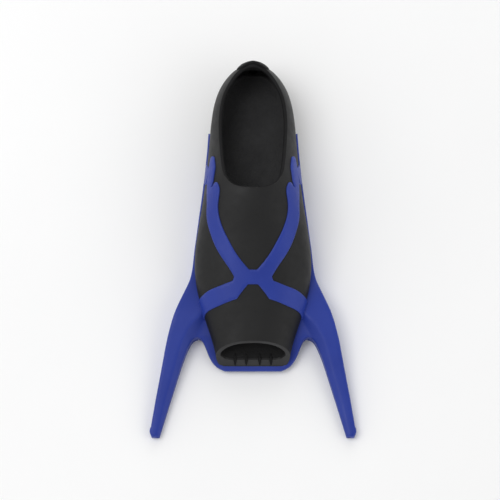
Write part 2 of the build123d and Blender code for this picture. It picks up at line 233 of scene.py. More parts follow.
def form_half_width(y, height):
    """Half width of the form at y and at a height."""
    half, widest_z, top_z, reach = form_columns(y)
    up = height >= widest_z
    part = np.where(up, (height - widest_z) / np.maximum(top_z - widest_z, 1e-6),
                    (widest_z - height) / np.maximum(reach, 1e-6))
    power = np.where(up, upper_power(y), LOWER_POWER)
    part = np.clip(part, 0, 1)
    return half * np.maximum(1 - part ** power, 0) ** (1 / power)


def half_section(y, start, count):
    """Points (x, z) evenly round one side of the form at y, from the start angle down to the sole's edge."""
    angles = start + (bottom_angle(y) - start) * np.linspace(0, 1, 160)
    x, z = form_point(y, angles)
    run = np.r_[0, np.cumsum(np.hypot(np.diff(x), np.diff(z)))]
    if run[-1] < 1e-6:
        return np.stack([np.full(count, x[0]), np.full(count, z[0])], axis=1)
    at = np.linspace(0, run[-1], count)
    return np.stack([np.interp(at, run, x), np.interp(at, run, z)], axis=1)


def grid_normals(grid):
    """Unit normals of a grid of points (rows, columns, xyz)."""
    down = np.gradient(grid, axis=0)
    across = np.gradient(grid, axis=1)
    normal = np.cross(across, down)
    length = np.linalg.norm(normal, axis=2, keepdims=True)
    return normal / np.maximum(length, 1e-9)


# ---- mesh helpers --------
def place(points):
    """Working millimetres to metres in the row frame."""
    return (np.asarray(points, float) + np.array([0, Y_SHIFT, 0])) * MM


def new_piece(name, points, faces, material, weld=0.0, sharp=None):
    """A mesh object from points in working millimetres."""
    mesh = bpy.data.meshes.new(name)
    mesh.from_pydata(place(points).tolist(), [], [list(map(int, face)) for face in faces])
    piece = bpy.data.objects.new(name, mesh)
    bpy.context.scene.collection.objects.link(piece)
    if weld:
        work = bmesh.new()
        work.from_mesh(mesh)
        bmesh.ops.remove_doubles(work, verts=work.verts, dist=weld * MM)
        bmesh.ops.dissolve_degenerate(work, edges=work.edges, dist=weld * MM)
        bmesh.ops.recalc_face_normals(work, faces=work.faces)
        work.to_mesh(mesh)
        work.free()
    mesh.materials.append(material)
    mesh.shade_smooth()
    if sharp:
        mesh.set_sharp_from_angle(angle=radians(sharp))
    return piece


def grid_faces(rows, columns, start=0, flip=False, wrap_rows=False):
    faces = []
    for i in range(rows if wrap_rows else rows - 1):
        for j in range(columns - 1):
            a = start + i * columns + j
            b = start + ((i + 1) % rows) * columns + j
            face = [a, a + 1, b + 1, b]
            faces.append(face[::-1] if flip else face)
    return faces


class Shape:
    """Points and faces gathered from several grids."""

    def __init__(self):
        self.points = np.zeros((0, 3))
        self.faces = []

    def grid(self, grid, flip=False, wrap_rows=False):
        rows, columns = grid.shape[:2]
        self.faces += grid_faces(rows, columns, len(self.points), flip, wrap_rows)
        self.points = np.vstack([self.points, grid.reshape(-1, 3)])

    def both(self, grid, flip=False):
        """A grid and its mirror image."""
        self.grid(grid, flip)
        self.grid(grid * np.array([-1, 1, 1]), not flip)


def tube(centres, across, out, wide, high, sides=12):
    """Rings round the centres: across and out are unit vectors at each centre."""
    angles = np.linspace(0, 2 * pi, sides + 1)
    ring = across[:, None, :] * (np.cos(angles) * wide)[None, :, None]
    ring = ring + out[:, None, :] * (np.sin(angles) * high)[None, :, None]
    return centres[:, None, :] + ring


def applied(piece):
    """Replaces the object's mesh by the result of its modifiers."""
    graph = bpy.context.evaluated_depsgraph_get()
    mesh = bpy.data.meshes.new_from_object(piece.evaluated_get(graph))
    piece.modifiers.clear()
    piece.data = mesh
    return piece


def cut(piece, *cutters):
    """Takes the cutters' volume out of the piece and deletes them."""
    for cutter in cutters:
        modifier = piece.modifiers.new("cut", "BOOLEAN")
        modifier.operation = "DIFFERENCE"
        modifier.solver = "EXACT"
        modifier.use_self = True
        modifier.object = cutter
    applied(piece)
    for cutter in cutters:
        bpy.data.objects.remove(cutter)
    return piece


# ---- materials --------
class Nodes:
    """Small helper that adds nodes and links to one material."""

    def __init__(self, name):
        self.material = bpy.data.materials.new(name)
        self.material.use_nodes = True
        self.tree = self.material.node_tree
        self.shader = self.tree.nodes["Principled BSDF"]
        self.coords = self.add("ShaderNodeTexCoord").outputs["Object"]

    def add(self, kind, links=None, **settings):
        node = self.tree.nodes.new(kind)
        for key, value in settings.items():
            setattr(node, key, value)
        for key, value in (links or {}).items():
            if isinstance(value, bpy.types.NodeSocket):
                self.tree.links.new(value, node.inputs[key])
            else:
                node.inputs[key].default_value = value
        return node

    def noise(self, scale, detail=3.0, rough=0.55):
        return self.add("ShaderNodeTexNoise", {"Vector": self.coords, "Scale": scale, "Detail": detail,
                                               "Roughness": rough}).outputs["Fac"]

    def voronoi(self, scale):
        return self.add("ShaderNodeTexVoronoi", {"Vector": self.coords, "Scale": scale}).outputs["Distance"]

    def span(self, fac, low, high, from_low=0.3, from_high=0.7):
        node = self.add("ShaderNodeMapRange", {"Value": fac, "From Min": from_low, "From Max": from_high,
                                               "To Min": low, "To Max": high})
        return node.outputs["Result"]

    def shades(self, fac, *stops):
        node = self.add("ShaderNodeValToRGB", {"Fac": fac})
        elements = node.color_ramp.elements
        while len(elements) < len(stops):
            elements.new(0.5)
        for element, (at, colour) in zip(elements, stops):
            element.position = at
            element.color = (*colour, 1)
        return node.outputs["Color"]

    def mix(self, fac, a, b):
        node = self.add("ShaderNodeMix", data_type="RGBA")
        for socket, value in (("Factor", fac), ("A", a), ("B", b)):
            found = [s for s in node.inputs if s.name == socket and s.enabled][0]
            if isinstance(value, bpy.types.NodeSocket):
                self.tree.links.new(value, found)
            else:
                found.default_value = value if socket == "Factor" else (*value, 1)
        return [s for s in node.outputs if s.enabled][0]

    def bump(self, height, strength, distance, under=None):
        links = {"Height": height, "Strength": strength, "Distance": distance}
        if under is not None:
            links["Normal"] = under
        return self.add("ShaderNodeBump", links).outputs["Normal"]

    def edges(self, low=0.52, high=0.6):
        """1 on convex edges, 0 elsewhere."""
        fac = self.add("ShaderNodeNewGeometry").outputs["Pointiness"]
        return self.span(fac, 0.0, 1.0, low, high)

    def finish(self, colour, roughness, normal, **fixed):
        for key, value in (("Base Color", colour), ("Roughness", roughness), ("Normal", normal)):
            if isinstance(value, bpy.types.NodeSocket):
                self.tree.links.new(value, self.shader.inputs[key])
            elif value is not None:
                self.shader.inputs[key].default_value = value
        for key, value in fixed.items():
            self.shader.inputs[key.replace("_", " ")].default_value = value
        return self.material


def linear(*rgb):
    """Screen colour, 0 to 255, as a linear one."""
    parts = [value / 255 for value in rgb]
    return tuple(part / 12.92 if part <= 0.04045 else ((part + 0.055) / 1.055) ** 2.4 for part in parts)


def rubber(name, dark, light, roughness=(0.5, 0.62), grain=900.0, grain_depth=0.00006, shine=0.4):
    """Moulded rubber: faint cloudy bloom, fine grain, and a painted highlight that makes convex edges a
    little lighter.
    """
    nodes = Nodes(name)
    cloud = nodes.noise(28.0, 4.0)
    colour = nodes.shades(cloud, (0.3, linear(*dark)), (0.7, linear(*light)))
    # Painted highlight: convex edges are mixed towards a lighter grey to stand in for light catching them.
    edge_highlight = nodes.mix(nodes.edges(), colour, linear(*(value + 14 for value in light)))
    fine = nodes.bump(nodes.noise(grain, 2.0), 0.35, grain_depth)
    soft = nodes.bump(nodes.noise(60.0, 2.0), 0.25, 0.0004, fine)
    rough = nodes.span(nodes.noise(120.0, 3.0), *roughness)
    return nodes.finish(edge_highlight, rough, soft, Specular_IOR_Level=shine)


def footbed_rubber():
    """Foam rubber with a close pattern of small pimples, with painted shade where it climbs the walls and
    towards the toe.
    """
    nodes = Nodes("footbed_rubber_finish")
    cloud = nodes.noise(40.0, 3.0)
    colour = nodes.shades(cloud, (0.3, linear(53, 53, 54)), (0.7, linear(63, 63, 64)))
    # Painted shade: the pad turns to a much darker copy of its colour high up the walls and towards the toe,
    # where the inside of the shoe lies in shadow.
    where = nodes.add("ShaderNodeSeparateXYZ", {"Vector": nodes.coords})
    low = nodes.span(where.outputs["Z"], 1.0, 0.0, 0.0155, 0.023)
    behind_toe = nodes.span(where.outputs["Y"], 0.1, 1.0, -0.105, -0.05)
    unshaded = nodes.add("ShaderNodeMath", {0: low, 1: behind_toe}, operation="MULTIPLY").outputs[0]
    shade = nodes.shades(cloud, (0.3, linear(11, 11, 12)), (0.7, linear(16, 16, 17)))
    colour = nodes.mix(unshaded, shade, colour)
    pimples = nodes.bump(nodes.span(nodes.voronoi(420.0), 1.0, 0.0, 0.0, 0.5), 0.5, 0.0005)
    rough = nodes.span(nodes.noise(200.0, 2.0), 0.6, 0.75)
    return nodes.finish(colour, rough, pimples, Specular_IOR_Level=0.15)


def blue_plastic(name, painted_edge_highlight=True):
    """Satin moulded thermoplastic: slight flow marks, fine texture, and a painted highlight that makes edges
    a shade lighter.
    """
    nodes = Nodes(name)
    cloud = nodes.noise(16.0, 4.0)
    colour = nodes.shades(cloud, (0.3, linear(30, 50, 136)), (0.7, linear(36, 57, 147)))
    # Painted highlight: convex edges are mixed towards a paler blue to stand in for light catching them.
    edge_highlight = nodes.mix(nodes.edges(0.53, 0.62), colour, linear(78, 96, 168)) if painted_edge_highlight else colour
    fine = nodes.bump(nodes.noise(1100.0, 2.0), 0.3, 0.00005)
    flow = nodes.bump(nodes.noise(35.0, 2.0), 0.2, 0.0004, fine)
    rough = nodes.span(nodes.noise(140.0, 3.0), 0.38, 0.5)
    return nodes.finish(edge_highlight, rough, flow, Specular_IOR_Level=0.3)


def metal(name, colour, roughness):
    """Turned metal with fine machining marks."""
    nodes = Nodes(name)
    cloud = nodes.noise(300.0, 3.0)
    shade = nodes.shades(cloud, (0.3, tuple(value * 0.8 for value in colour)), (0.7, colour))
    marks = nodes.bump(nodes.noise(1500.0, 2.0), 0.25, 0.00004)
    rough = nodes.span(nodes.noise(500.0, 2.0), *roughness)
    return nodes.finish(shade, rough, marks, Metallic=1.0)


SHOE = rubber("shoe_rubber_finish", (13, 13, 14), (19, 19, 20), shine=0.33)
# Painted light: the toe lip is the shoe's own rubber made lighter, standing in for the light on its slanted
# face.
LIT_LIP_RUBBER = rubber("toe_lip_painted_light_finish", (34, 34, 35), (42, 42, 43), (0.5, 0.6))
RIM_RUBBER = rubber("rim_rubber_finish", (15, 15, 16), (20, 20, 21), (0.6, 0.7), shine=0.15)
BED = footbed_rubber()
TREAD = rubber("tread_rubber_finish", (22, 22, 24), (30, 30, 32), (0.6, 0.72), 500.0, 0.0002)
BLUE = blue_plastic("blue_plastic_finish")
PLATE_BLUE = blue_plastic("blue_plate_finish", painted_edge_highlight=False)
STEEL = metal("screw_steel_finish", (0.6, 0.6, 0.62), (0.25, 0.4))
BRASS = metal("insert_brass_finish", (0.72, 0.52, 0.25), (0.3, 0.42))


# ---- rubber shoe --------
SIDE_POINTS = 56
SOLE_POINTS = 7


def opening_ends():
    """The y at which the rim line enters and leaves the form."""
    y = np.linspace(RIM[0][0], RIM[-1][0] - 1, 2000)
    inside = y[RIM_LINE(y) < form_columns(y)[2]]
    return inside[0], inside[-1]


OPEN_START_Y, OPEN_END_Y = opening_ends()


def shoe_stations():
    """Places along the shoe, closer together where it turns, and the rows that open at the rim."""
    toe = TOE_REACH_Y * np.linspace(0, 1, 26)
    body = np.linspace(TOE_REACH_Y, OPEN_START_Y, 48)
    turn = (1 - np.cos(np.linspace(0, pi, 81))) / 2
    opening = OPEN_START_Y + (OPEN_END_Y - OPEN_START_Y) * turn
    root = np.sqrt(BACK_Y - OPEN_END_Y)
    heel = BACK_Y - np.linspace(root, 0, 17) ** 2
    stations = np.concatenate([toe, body[1:], opening[1:], heel[1:]])
    first = len(toe) + len(body) - 2
    return stations, first, first + len(opening) - 1


def shoe_grid():
    """Outer skin of the right half, from the rim or top line down and in to the middle of the sole."""
    stations, first, last = shoe_stations()
    rows = []
    for i, s in enumerate(stations):
        start = pi / 2
        if first < i < last:
            start = float(top_angle(s, RIM_LINE(s)))
        side = half_section(s, start, SIDE_POINTS)
        inward = np.linspace(side[-1, 0], 0, SOLE_POINTS + 1)[1:]
        sole = np.stack([inward, np.full(SOLE_POINTS, side[-1, 1])], axis=1)
        ring = np.vstack([side, sole])
        rows.append(np.stack([ring[:, 0], np.full(len(ring), s), ring[:, 1]], axis=1))
    grid = np.array(rows)
    return sheared(grid, stations), first, last


def sheared(grid, stations):
    """Leans the front rows back, so that the first one lies in the slanted toe face."""
    share = np.clip(stations / TOE_REACH_Y, 0, 1)[:, None]
    for i in np.nonzero(stations < TOE_REACH_Y)[0]:
        y = np.full(grid.shape[1], stations[i])
        for _ in range(6):
            x, z = ring_at(y, grid.shape[1])
            y = TOE_LINE(z) + (TOE_REACH_Y - TOE_LINE(z)) * share[i]
        grid[i] = np.stack([x, y, z], axis=1)
    return grid


def ring_at(ys, count):
    """Half ring whose k-th point is taken from the section at ys[k]."""
    x, z = np.zeros(count), np.zeros(count)
    for k in range(count):
        side = half_section(ys[k], pi / 2, SIDE_POINTS)
        if k < SIDE_POINTS:
            x[k], z[k] = side[k]
        else:
            x[k] = side[-1, 0] * (1 - (k - SIDE_POINTS + 1) / SOLE_POINTS)
            z[k] = side[-1, 1]
    return x, z


def toe_lip(outer, inner):
    """Slanted face of the toe opening, from the outer skin in to the inner one, with rounded edges."""
    rows = []
    for share in np.linspace(0, 1, 13):
        row = outer[0] + (inner[0] - outer[0]) * share
        edge = abs(2 * share - 1) ** 6
        row[:, 1] = TOE_LINE(row[:, 2]) + 0.9 * edge - 0.3
        rows.append(row)
    rows[0], rows[-1] = outer[0], inner[0]
    return np.array(rows)


def inner_skin(outer, stations, closed_rows):
    """The inside of the shoe, with a thick collar at the heel and a soft-cornered floor."""
    normals = grid_normals(outer)
    normals[:, -SOLE_POINTS:] = (0, 0, -1)
    normals[closed_rows, 0, 0] = 0
    normals /= np.maximum(np.linalg.norm(normals, axis=2, keepdims=True), 1e-9)
    x, y, z = (outer[:, :, k] for k in range(3))
    beside_toe = TOE_WALL_EXTRA * np.abs(normals[:, :, 0]) ** 1.5 * (1 - ramp(y, 12, 40))
    behind_heel = COLLAR_EXTRA * np.exp(-(x / 15) ** 2 - ((z - 62) / 5) ** 2) * ramp(y, 280, 292)
    inner = outer - normals * (WALL + beside_toe + behind_heel)[:, :, None]
    inner[:, :, 0] = np.maximum(inner[:, :, 0], 0)
    inner[closed_rows, 0, 0] = 0
    inner[:, :, 2] = soft_floor(inner[:, :, 2], INNER_FLOOR_Z)
    corner = TOE_CORNER_RISE * ramp(inner[:, :, 0], 22, 34) ** 2 * (1 - ramp(y, 10, 36))
    inner[:, :, 2] = np.maximum(inner[:, :, 2], INNER_FLOOR_Z + corner)
    share = np.clip(stations / TOE_REACH_Y, 0, 1)[:, None]
    toe_y = TOE_LINE(inner[:, :, 2])
    sheared_y = toe_y + (TOE_REACH_Y - toe_y) * share
    inner[:, :, 1] = np.where(share < 1, sheared_y, inner[:, :, 1])
    return inner


def soft_floor(z, floor_z, ease=1.6):
    """z, kept above a floor by a rounded corner instead of a sharp one."""
    return floor_z + ease * np.logaddexp(0, (z - floor_z) / ease)


def rim_bead(outer, inner, first, last):
    """Rolled bead all round the foot opening."""
    right_out, right_in = outer[first:last + 1, 0], inner[first:last + 1, 0]
    mirror = np.array([-1, 1, 1])
    loop_out = np.vstack([right_out, (right_out * mirror)[-2:0:-1]])
    loop_in = np.vstack([right_in, (right_in * mirror)[-2:0:-1]])
    centres = (loop_out + loop_in) / 2
    centres = smooth_loop(centres, 2)
    along = np.roll(centres, -1, axis=0) - np.roll(centres, 1, axis=0)
    along /= np.linalg.norm(along, axis=1, keepdims=True)
    across = smooth_loop(loop_in - loop_out, 3)
    across -= along * np.sum(across * along, axis=1, keepdims=True)
    across /= np.linalg.norm(across, axis=1, keepdims=True)
    out = np.cross(along, across)
    size = 0.42 + 0.58 * ramp(centres[:, 1], 167, 190)
    return tube(centres, across * size[:, None], out * size[:, None], 2.1, 1.8, 14)


def smooth_loop(points, times):
    for _ in range(times):
        points = (np.roll(points, 1, axis=0) + 2 * points + np.roll(points, -1, axis=0)) / 4
    return points


def foot_shoe():
    outer, first, last = shoe_grid()
    stations = shoe_stations()[0]
    closed_rows = [i for i in range(len(outer)) if not first < i < last]
    inner = inner_skin(outer, stations, closed_rows)[:-3]
    shape = Shape()
    shape.both(outer)
    shape.both(inner, flip=True)
    strip = np.stack([outer[first:last + 1, 0], inner[first:last + 1, 0]], axis=1)
    shape.both(strip)
    shoe = new_piece("shoe", shape.points, shape.faces, SHOE, weld=0.02, sharp=40)
    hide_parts("foot_pocket")
    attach(shoe, "pocket")
    lip_shape = Shape()
    lip_shape.both(toe_lip(outer, inner), flip=True)
    lip = new_piece("toe_lip", lip_shape.points, lip_shape.faces, LIT_LIP_RUBBER, weld=0.01, sharp=60)
    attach(lip, "pocket")
    bead_shape = Shape()
    bead_shape.grid(rim_bead(outer, inner, first, last), wrap_rows=True)
    bead = new_piece("rim_bead", bead_shape.points, bead_shape.faces, RIM_RUBBER, weld=0.01)
    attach(bead, "pocket")
    return outer, inner


OUTER, INNER = foot_shoe()

# ---- X harness --------
GIRTH_YS = np.arange(36.0, 216.0, 1.0)
GIRTHS = np.arange(0.0, 100.0, 1.0)


def girth_table():
    """Points of the form by y and by distance round it from the middle."""
    table = np.zeros((len(GIRTH_YS), len(GIRTHS), 2))
    for i, y in enumerate(GIRTH_YS):
        angles = np.linspace(pi / 2, float(bottom_angle(y)), 240)
        x, z = form_point(y, angles)
        run = np.r_[0, np.cumsum(np.hypot(np.diff(x), np.diff(z)))]
        table[i, :, 0] = np.interp(GIRTHS, run, x)
        table[i, :, 1] = np.interp(GIRTHS, run, z)
    return table


GIRTH_TABLE = girth_table()


def on_form(girth, y):
    """Point of the form at a signed distance round it from the middle."""
    side = np.sign(girth)
    a = np.clip(np.abs(girth), 0, GIRTHS[-1] - 1e-6)
    b = np.clip(y - GIRTH_YS[0], 0, len(GIRTH_YS) - 1 - 1e-6)
    i, j = b.astype(int), a.astype(int)
    v, u = (b - i)[:, None], (a - j)[:, None]
    low = GIRTH_TABLE[i, j] * (1 - u) + GIRTH_TABLE[i, j + 1] * u
    high = GIRTH_TABLE[i + 1, j] * (1 - u) + GIRTH_TABLE[i + 1, j + 1] * u
    xz = low * (1 - v) + high * v
    return np.stack([xz[:, 0] * np.where(side == 0, 1, side), y, xz[:, 1]], axis=1)


def form_normal(girth, y, step=1.5):
    du = on_form(girth + step, y) - on_form(girth - step, y)
    dv = on_form(girth, y + step) - on_form(girth, y - step)
    normal = np.cross(dv, du)
    normal *= np.sign(normal[:, 2:3] + 1e-9)
    return normal / np.linalg.norm(normal, axis=1, keepdims=True)


def inset(outline, distance):
    """Anticlockwise closed outline moved inwards. Points that would cross at a corner gather in it."""
    if distance == 0:
        return outline
    along = np.roll(outline, -1, axis=0) - np.roll(outline, 1, axis=0)
    along /= np.maximum(np.linalg.norm(along, axis=1, keepdims=True), 1e-9)
    moved = outline + np.stack([-along[:, 1], along[:, 0]], axis=1) * distance
    fine = resample(np.vstack([outline, outline[:1]]), 0.2)
    good = far_from(moved, fine, 0.96 * distance)
    count = len(outline)
    for k in np.nonzero(~good)[0]:
        before = next(i for i in range(k - 1, k - count, -1) if good[i % count]) % count
        after = next(i for i in range(k + 1, k + count) if good[i % count]) % count
        moved[k] = (moved[before] + moved[after]) / 2
    return moved


def inside(points, outline):
    """Which points lie inside a closed outline."""
    x, y = points[:, 0:1], points[:, 1:2]
    x0, y0 = outline[:, 0], outline[:, 1]
    x1, y1 = np.roll(x0, -1), np.roll(y0, -1)
    crosses = ((y0 > y) != (y1 > y)) & (x < (x1 - x0) * (y - y0) / np.where(y1 == y0, 1e-12, y1 - y0) + x0)
    return crosses.sum(axis=1) % 2 == 1


def far_from(points, others, distance):
    keep = np.ones(len(points), bool)
    for start in range(0, len(points), 400):
        part = points[start:start + 400]
        gap = np.linalg.norm(part[:, None] - others[None], axis=2).min(axis=1)
        keep[start:start + 400] = gap > distance
    return keep


def filled(outline, spacing, lines=()):
    """Flat triangulation of a closed outline, with extra lines kept as edges."""
    low, high = outline.min(axis=0), outline.max(axis=0)
    rows = np.arange(low[1] + spacing / 2, high[1], spacing * 0.87)
    points = [(x + (spacing / 2 if k % 2 else 0), y) for k, y in enumerate(rows)
              for x in np.arange(low[0], high[0], spacing)]
    points = np.array(points)
    points = points[inside(points, outline)]
    fixed = np.vstack([outline, *lines])
    points = points[far_from(points, fixed, spacing * 0.55)]
    count = len(outline)
    edges = [(k, (k + 1) % count) for k in range(count)]
    for line in lines:
        edges += [(count + k, count + k + 1) for k in range(len(line) - 1)]
        count += len(line)
    everything = np.vstack([fixed, points])
    result = delaunay_2d_cdt([Vector(p) for p in everything.tolist()], edges, [], 1, 1e-5)
    flat = np.array([(v.x, v.y) for v in result[0]])
    origin = [list(group) for group in result[3]]
    return flat, [list(face) for face in result[2]], origin


def joined(one, other):
    """Faces between two closed rings of vertex numbers."""
    return [[a, b, d, c] for a, b, c, d in zip(one, other, np.roll(one, -1), np.roll(other, -1))]


def boundary_of(origin, count):
    """Where each point of the outline went in its triangulation."""
    order = {source: k for k, group in enumerate(origin) for source in group if source < count}
    return [order[k] for k in range(count)]


def fork_dent(girth, y):
    """How far the strap's face is sunk at a point."""
    (inner, foot_y), (outer, _) = FORK_FEET
    down = (FORK_APEX[1] - y) / (FORK_APEX[1] - foot_y)
    inner_edge = FORK_APEX[0] + (inner - FORK_APEX[0]) * down
    outer_edge = FORK_APEX[0] + (outer - FORK_APEX[0]) * down
    within = np.clip(np.minimum(girth - inner_edge, outer_edge - girth) / 0.5, 0, 1)
    return FORK_DEPTH * within * np.clip((y - foot_y + 1) / 0.6, 0, 1)


def fork_lines():
    """Mesh lines along the edges of the sunk wedges and just inside them."""
    lines = []
    for shift, start in ((0.0, 0.04), (0.5, 0.3)):
        for foot, sign in zip(FORK_FEET, (1, -1)):
            edge = np.linspace(np.array(FORK_APEX), np.array(foot), 12)[max(1, int(12 * start)):]
            edge = edge + np.array([sign * shift, 0])
            lines += [edge, edge * np.array([-1, 1])]
    return lines


def x_harness():
    """Two straps that cross over the instep, one band with rounded edges standing proud of the rubber."""
    parts = [curve_through(STRAP_REAR_INNER), curve_through(STRAP_HORN), curve_through(FINGER),
             resample(BRIDGE_REAR, 1.0), resample(BRIDGE_FRONT, 1.0), curve_through(STRAP_REAR_OUTER),
             curve_through(STRAP_FRONT_REAR), curve_through(STRAP_FRONT_FRONT), resample(STRAP_CENTRE, 1.0)]
    half = np.vstack(parts)
    keep = np.r_[True, np.linalg.norm(np.diff(half, axis=0), axis=1) > 0.3]
    half = half[keep]
    outline = np.vstack([half[::-1], half * np.array([-1, 1])])
    area = np.sum(outline[:, 0] * np.roll(outline[:, 1], -1) - np.roll(outline[:, 0], -1) * outline[:, 1])
    if area < 0:
        outline = outline[::-1]
    outline = resample(np.vstack([outline, outline[:1]]), 0.9)[:-1]
    outline = (np.roll(outline, 1, axis=0) + 2 * outline + np.roll(outline, -1, axis=0)) / 4
    rings = [(0.0, -0.8), (0.0, 0.85), (0.25, 1.25), (0.65, STRAP_PROUD)]
    flat, faces, origin = filled(inset(outline, rings[-1][0]), 2.4, fork_lines())
    height = STRAP_PROUD - fork_dent(np.abs(flat[:, 0]), flat[:, 1])
    top = on_form(flat[:, 0], flat[:, 1]) + form_normal(flat[:, 0], flat[:, 1]) * height[:, None]
    points, faces = [top], list(faces)
    count, previous = len(top), boundary_of(origin, len(outline))
    for distance, height in rings[-2::-1]:
        ring = inset(outline, distance)
        points.append(on_form(ring[:, 0], ring[:, 1]) + form_normal(ring[:, 0], ring[:, 1]) * height)
        now = list(range(count, count + len(ring)))
        count += len(ring)
        faces += joined(previous, now)
        previous = now
    harness = new_piece("x_harness_band", np.vstack(points), faces, BLUE, weld=0.005, sharp=50)
    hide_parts("x_harness")
    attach(harness, "pocket")


x_harness()


# ---- blue frame: toe frame, rails and arms --------
def extended(rows):
    """The stations with one more beyond each end, on the line through the last two."""
    rows = np.array(rows, float)
    return np.vstack([2 * rows[0] - rows[1], rows, 2 * rows[-1] - rows[-2]])


RAIL_ROWS = extended(RAIL)
SMOOTHING = np.linspace(-5, 5, 9)


def rail_tracks(y):
    """Outer x, ridge x, ridge z, facet foot x, foot z and underside z at y, eased over the stations."""
    y = np.asarray(y, float)
    return [np.mean([np.interp(y + d, RAIL_ROWS[:, 0], RAIL_ROWS[:, k]) for d in SMOOTHING], axis=0)
            for k in range(1, 7)]


def rail_top(x, y):
    """Height of the frame's upper side, its creases rounded a little."""
    total = 0
    for angle in np.linspace(0, 2 * pi, 9)[:-1]:
        outer, ridge_x, ridge_z, foot_x, foot_z, low = rail_tracks(y + 0.9 * sin(angle))
        part = np.clip((x + 0.9 * cos(angle) - foot_x) / (ridge_x - foot_x), 0, 1)
        total = total + foot_z + (ridge_z - foot_z) * part
    beside_toe = np.interp(y, *np.array(TOE_FRAME_TOP, float).T)
    return np.where((x < 55) & (y < 30), beside_toe, total / 8)


def frame_outline():
    """Outline of the right side in plan, from the middle of the toe lip out, back and in again."""
    lip = resample([(0, LIP_Y), NOTCH[-1]], 1.5)
    notch = curve_through(NOTCH, 1.2)[::-1]
    corners = [NOTCH[0], (100.4, TIP_Y), (102.6, TIP_Y + 5.5), (102.2, TIP_Y + 8.5)]
    tip = resample(corners, 0.8)
    ys = np.arange(TIP_Y + 10, FRAME_END_Y + 0.1, 1.5)
    side = np.stack([rail_tracks(ys)[0], ys], axis=1)
    rear_y = np.arange(FRAME_END_Y - 2, 62.0, -4.0)
    rear = np.stack([rail_tracks(rear_y)[3], rear_y], axis=1)
    inner = resample([rear[-1], (42, 58), (30, 40), (0, 34)], 3.0)
    return np.vstack([lip, notch[1:], tip[1:], side, rear, inner[1:-1]])


def frame_body():
    """Solid of the toe frame, rails and arms before any room is cut in it, with rounded upper edges."""
    half = frame_outline()
    mirror = (half * np.array([-1, 1]))[1:][::-1]
    outline = np.vstack([half, [(0, 34)], mirror])
    ys = np.arange(TIP_Y + 2, 60.0, 1.5)
    lines = []
    clear = inset(outline, 2.4)
    for k in (1, 3):
        for shift in (-1.2, 0.0, 1.2):
            line = np.stack([rail_tracks(ys)[k] + shift, ys], axis=1)
            for run in runs_inside(line, clear):
                lines += [run, run * np.array([-1, 1])]
    rings = [(0.0, 1.6), (0.22, 0.8), (0.8, 0.22), (1.6, 0.0)]
    flat, faces, origin = filled(inset(outline, rings[-1][0]), 2.6, lines)
    top = np.column_stack([flat, rail_top(np.abs(flat[:, 0]), flat[:, 1])])
    count, previous = len(top), boundary_of(origin, len(outline))
    points, faces = [top], list(faces)
    for distance, drop in rings[-2::-1] + [(0.0, None)]:
        ring = inset(outline, distance)
        if drop is None:
            height = underside(np.abs(ring[:, 0]), ring[:, 1]) + 0.6
        else:
            height = rail_top(np.abs(ring[:, 0]), ring[:, 1]) - drop
        points.append(np.column_stack([ring, height]))
        now = list(range(count, count + len(ring)))
        count += len(ring)
        faces += joined(previous, now)
        previous = now
    flat, bottom_faces, origin = filled(inset(outline, 0.6), 6.0)
    points.append(np.column_stack([flat, underside(np.abs(flat[:, 0]), flat[:, 1])]))
    faces += [[count + k for k in face][::-1] for face in bottom_faces]
    faces += joined(previous, [count + k for k in boundary_of(origin, len(outline))])
    body = new_piece("frame_body", np.vstack(points), faces, BLUE, weld=0.004)
    mesh = bmesh.new()
    mesh.from_mesh(body.data)
    bmesh.ops.holes_fill(mesh, edges=[e for e in mesh.edges if e.is_boundary], sides=6)
    bmesh.ops.recalc_face_normals(mesh, faces=mesh.faces)
    mesh.to_mesh(body.data)
    mesh.free()
    return body


def runs_inside(line, outline):
    """The stretches of a polyline that lie inside a closed outline."""
    runs, run = [], []
    for point, ok in zip(line, inside(line, outline)):
        if ok:
            run.append(point)
        elif run:
            runs.append(run)
            run = []
    return [np.array(run) for run in runs + [run] if len(run) > 2]


def underside(x, y):
    """Height of the frame's underside."""
    return np.maximum(rail_tracks(y)[5], 0)


def prism(name, outline, low, high):
    """Closed upright solid over a flat outline, for cutting."""
    outline = resample(np.vstack([outline, outline[:1]]), 4.0)[:-1]
    flat, faces, origin = filled(outline, 8.0)
    total = len(flat)
    points = np.vstack([np.column_stack([flat, np.full(total, z)]) for z in (low, high)])
    edge = np.array(boundary_of(origin, len(outline)))
    faces = [face[::-1] for face in faces] + [[k + total for k in face] for face in faces]
    return new_piece(name, points, faces + joined(edge + total, edge), BLUE, weld=0.005)


def blade_cutters():
    """The room that a blade takes, edge grooves, channel and the gap below it, and that of the sole plate."""
    groove = curve_through(GROOVE, 3.0)
    start = np.array([(groove[0, 0] + 1.5, groove[0, 1] - 5)])
    half = np.vstack([start, groove, [(TONGUE_HALF, CHANNEL_END_Y)]])
    outline = np.vstack([half, (half * np.array([-1, 1]))[::-1]])
    low = [(1, -90), (1, CHANNEL_END_Y), (-1, CHANNEL_END_Y), (-1, -90)]
    plate = [(x + 0.1, y) for x, y in SOLE_PLATE]
    plate += [(-x, y) for x, y in plate[::-1]]
    (front_x, front_y), (rear_x, rear_y) = FRAME_SPLIT
    toe = [(front_x, -20), (front_x, front_y), (rear_x, rear_y)]
    toe += [(-x, y) for x, y in toe[::-1]]
    return (prism("groove_room", outline, FLANGE_Z, SEAT_Z),
            prism("flange_room", np.array(low) * (FLANGE_HALF, 1), -10, FLANGE_Z + 0.01),
            prism("plate_room", np.array(plate), SEAT_Z - 0.1, SEAT_Z + 4),
            prism("toe_room", np.array(toe), -12, SEAT_Z))


def shrunk(outer):
    """The shoe's volume a little inside its outer skin."""
    normals = grid_normals(outer)
    skin = outer - normals * 1.2
    skin[:, :, 0] = np.maximum(skin[:, :, 0], 0)
    skin[:, 0, 0] = 0
    skin[:, -1, 0] = 0
    return skin


